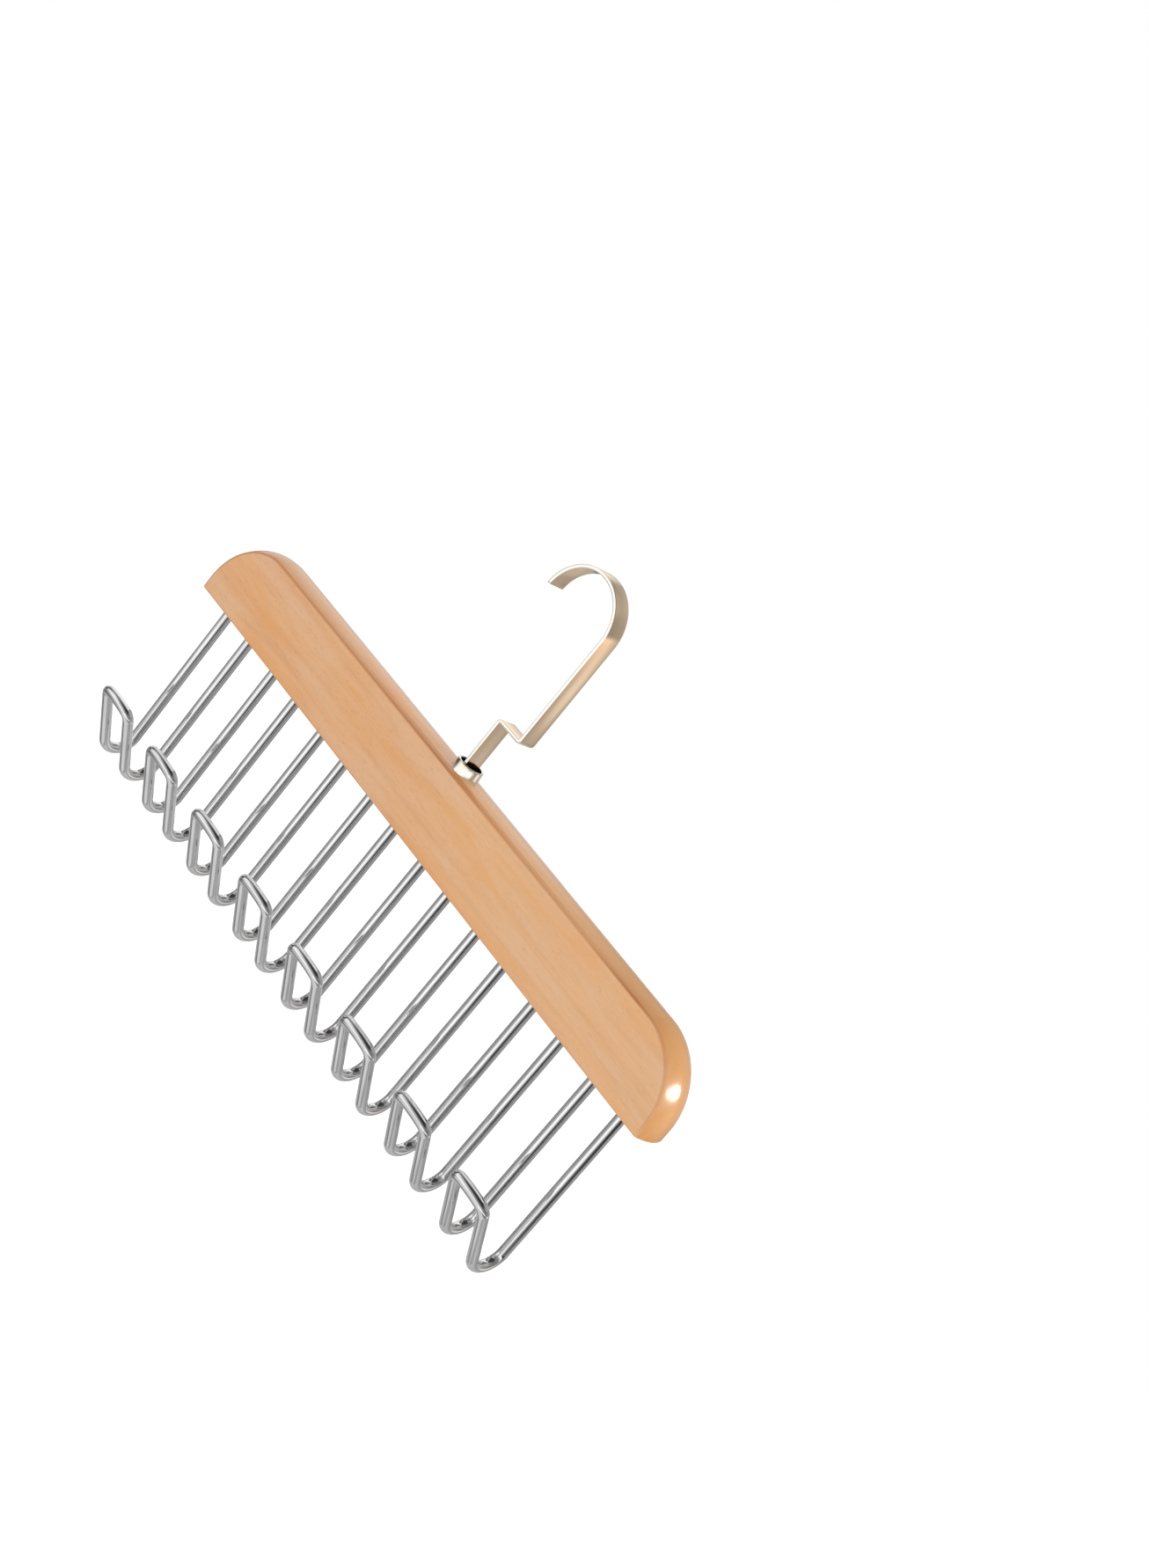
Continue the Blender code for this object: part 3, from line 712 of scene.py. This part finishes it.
def wire_hook(middle_x, number):
    """The bmesh of one wire hook, at its place below the bar."""
    bend_y, bend_z = -BEND_RADIUS, BAR_BOTTOM_Z + BEND_RADIUS - HOOK_DROP
    lip_y, lip_z = -HOOK_REACH, BAR_BOTTOM_Z + LIP_RISE - HOOK_DROP
    to_lip = math.hypot(lip_y - bend_y, lip_z - bend_z)
    turn = 2 * math.pi - math.atan2(lip_z - bend_z, lip_y - bend_y) - math.acos(BEND_RADIUS / to_lip)
    rise = Vector((0, -math.sin(turn), -math.cos(turn)))
    left, right = middle_x - HOOK_WIDTH / 2, middle_x + HOOK_WIDTH / 2
    corner_turn = math.pi / 2 - LIP_BOW
    top = BAR_BOTTOM_Z + LEG_HOLE_DEPTH - LEG_END_GAP

    bm = bmesh.new()
    bmesh.ops.create_circle(bm, cap_ends=True, segments=WIRE_SIDES, radius=WIRE_DIAMETER / 2)
    bmesh.ops.translate(bm, verts=bm.verts, vec=(left, 0, top))
    bm.faces.ensure_lookup_table()
    face = bm.faces[0]
    drawn = start_drawing(bm, face)
    for vert in face.verts:
        vert[drawn] = vert[drawn] + Vector((0, 0, LINES_APART * number))
    face = pull(bm, drawn, face, DOWN, top - bend_z)
    face = bend(bm, drawn, face, Vector((left, bend_y, bend_z)), -RIGHT, turn, BEND_STEPS)
    corner = Vector((left, lip_y, lip_z)) - rise * LIP_CORNER_RADIUS * math.tan(corner_turn / 2)
    riser = (corner - face.calc_center_median()).length
    face = pull(bm, drawn, face, rise, riser)
    across = rise.cross(RIGHT)
    face = bend(bm, drawn, face, corner + RIGHT * LIP_CORNER_RADIUS, across, corner_turn, CORNER_STEPS)
    end = face.calc_center_median()
    bow_radius = (middle_x - end.x) / math.sin(LIP_BOW)
    bow_centre = Vector((middle_x, end.y, end.z)) - rise * bow_radius * math.cos(LIP_BOW)
    face = bend(bm, drawn, face, bow_centre, across, 2 * LIP_BOW, BOW_STEPS)
    far_corner = Vector((right, corner.y, corner.z))
    face = bend(bm, drawn, face, far_corner - RIGHT * LIP_CORNER_RADIUS, across, corner_turn, CORNER_STEPS)
    face = pull(bm, drawn, face, -rise, riser)
    face = bend(bm, drawn, face, Vector((right, bend_y, bend_z)), RIGHT, turn, BEND_STEPS)
    pull(bm, drawn, face, -DOWN, top - bend_z)
    return bm


for number, place in enumerate(hook_places, start=1):
    made = piece(f"chrome_hook_{number}", wire_hook(place, number), [chrome], "bar",
                 f"wire_hook_{number}")
print("wire hooks:", HOOK_COUNT, "with", face_count(made), "faces each, lowest point",
      round(1000 * min(vert.co.z for vert in made.data.vertices), 1), "mm")

# %% [markdown]
# The flat hook is bent from one strip: straight out of the collar, a jog of two tight bends to one side, up,
# and over in half a circle that ends in a square cut. Its edges are slightly rounded, as rolled strip is. The
# section is a rectangle with its corners rounded by a vertex bevel, drawn round the path with the same
# helpers. The two narrow edges take a paler finish of their own, a painted highlight on top of the light
# that their rounding catches.

# %% Flat swivel hook
SLOT_DEPTH = 0.0011
FOOT_Z = pin_high.z - SLOT_DEPTH
UP = Vector((0, 0, 1))
ACROSS = Vector((0, 1, 0))
TIP_EASING = 0.00025
JOG_STEPS, ARC_STEPS = 10, 72
EDGE_TURN = 0.3


def flat_hook():
    """The bmesh of the bent strip."""
    bm = bmesh.new()
    half_x, half_y = STRIP_THICKNESS / 2, STRIP_WIDTH / 2
    corners = [bm.verts.new((SWIVEL_X + x * half_x, y * half_y, FOOT_Z)) for x, y in
               ((-1, -1), (1, -1), (1, 1), (-1, 1))]
    bm.faces.new(corners)
    bmesh.ops.bevel(bm, geom=corners, offset=STRIP_EDGE_RADIUS, affect="VERTICES", segments=4, profile=0.5,
                    material=-1)
    bm.faces.ensure_lookup_table()
    face = bm.faces[0]
    drawn = start_drawing(bm, face)
    jog_z = BAR_TOP_Z + JOG_HEIGHT
    radius = JOG_BEND_RADIUS
    quarter = math.pi / 2
    face = pull(bm, drawn, face, UP, jog_z - radius - FOOT_Z)
    face = bend(bm, drawn, face, Vector((SWIVEL_X + radius, 0, jog_z - radius)), ACROSS, quarter, JOG_STEPS)
    face = pull(bm, drawn, face, RIGHT, STEM_OFFSET - 2 * radius)
    face = bend(bm, drawn, face, Vector((ARC_RADIUS - radius, 0, jog_z + radius)), -ACROSS, quarter, JOG_STEPS)
    face = pull(bm, drawn, face, UP, ARC_CENTRE_Z - jog_z - radius)
    face = bend(bm, drawn, face, Vector((0, 0, ARC_CENTRE_Z)), -ACROSS, ARC_SWEEP, ARC_STEPS)
    bmesh.ops.bevel(bm, geom=list(face.edges), offset=TIP_EASING, affect="EDGES", segments=2, profile=0.5,
                    material=-1)
    # The narrow edges take the paler finish, a painted highlight.
    for side in bm.faces:
        if abs(side.normal.y) > EDGE_TURN:
            side.material_index = 1
    return bm


strip = piece("flat_hook", flat_hook(), [champagne, champagne_painted_highlight], "hook", "hook_strip")
print("flat hook:", face_count(strip), "faces, top in mm:",
      round(1000 * max(vert.co.z for vert in strip.data.vertices), 2))

# %% [markdown]
# The collar is a turned cup, so it is spun from half of its section. Its rim is rounded afterwards by a bevel
# on the two rim circles, because a bevel keeps the rounding even all the way round. The inside is rougher and
# painted dark as the shade in the cup, and takes a second finish.

# %% Collar
COLLAR_HOLE_RADIUS = bush_radius
COLLAR_BORE_RADIUS = 0.00523
COLLAR_FLOOR = 0.0012
COLLAR_TAPER = 0.0003
RIM_ROUNDING = 0.00042
CUP_STEPS = 96
SAME_SPOT = 0.000001
SAME_HEIGHT = 0.00001
BORE_SKIN = 0.00005


def cup():
    """The bmesh of the collar, at its place in the bar's top."""
    radius = (collar_high.x - collar_low.x) / 2
    floor_z = collar_low.z + COLLAR_FLOOR
    profile = [(COLLAR_HOLE_RADIUS, collar_low.z), (radius, collar_low.z), (radius, BAR_TOP_Z + BAR_CROWN),
               (radius - COLLAR_TAPER, collar_high.z), (COLLAR_BORE_RADIUS, collar_high.z),
               (COLLAR_BORE_RADIUS, floor_z), (COLLAR_HOLE_RADIUS, floor_z)]
    bm = bmesh.new()
    corners = [bm.verts.new((SWIVEL_X + r, 0, z)) for r, z in profile]
    edges = [bm.edges.new(pair) for pair in zip(corners, corners[1:] + corners[:1])]
    bmesh.ops.spin(bm, geom=corners + edges, cent=(SWIVEL_X, 0, 0), axis=(0, 0, 1), angle=2 * math.pi,
                   steps=CUP_STEPS, use_merge=True)
    bmesh.ops.remove_doubles(bm, verts=bm.verts, dist=SAME_SPOT)
    # The rim's edges lie at the top, and both ends of each are equally far from the axis.
    top = Vector((SWIVEL_X, 0, collar_high.z))
    rim = [edge for edge in bm.edges if all(abs(vert.co.z - top.z) < SAME_HEIGHT for vert in edge.verts)
           and abs((edge.verts[0].co - top).length - (edge.verts[1].co - top).length) < SAME_HEIGHT]
    bmesh.ops.bevel(bm, geom=rim, offset=RIM_ROUNDING, affect="EDGES", segments=5, profile=0.5, material=-1)
    # The faces inside the bore take the second finish, the gold that is painted dark as shade.
    for side in bm.faces:
        middle = side.calc_center_median()
        away = math.hypot(middle.x - SWIVEL_X, middle.y)
        if away < COLLAR_BORE_RADIUS + BORE_SKIN and middle.z > collar_low.z:
            side.material_index = 1
    return bm


collar = piece("gold_collar", cup(), [pale_gold, gold_painted_shade], "bar", "collar")
print("collar:", face_count(collar), "faces")

# %% [markdown]
# The bush, the pin and the washer sit inside the bar, where only the pin's head can be glimpsed in the cup.
# The imported shapes of these three are already fine enough, so they stay and only take a turned metal finish.
# The steel of the pin and the washer is painted dark, as the shade in the cup.

# %% Swivel pieces inside the bar
for name, finish in (("barbed_bush", brass), ("swivel_pin", steel), ("pin_washer", steel)):
    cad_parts[name].material_slots[0].material = finish
    print(name, "takes", finish.name)

# %% [markdown]
# Last, the view transform is set to Standard and the view layer is updated. The dressed model has to stay
# inside the imported model's box, or the pose and collision checks would no longer be about the object that
# is seen.

# %% Set the view transform
bpy.context.scene.view_settings.view_transform = "Standard"
bpy.context.view_layer.update()
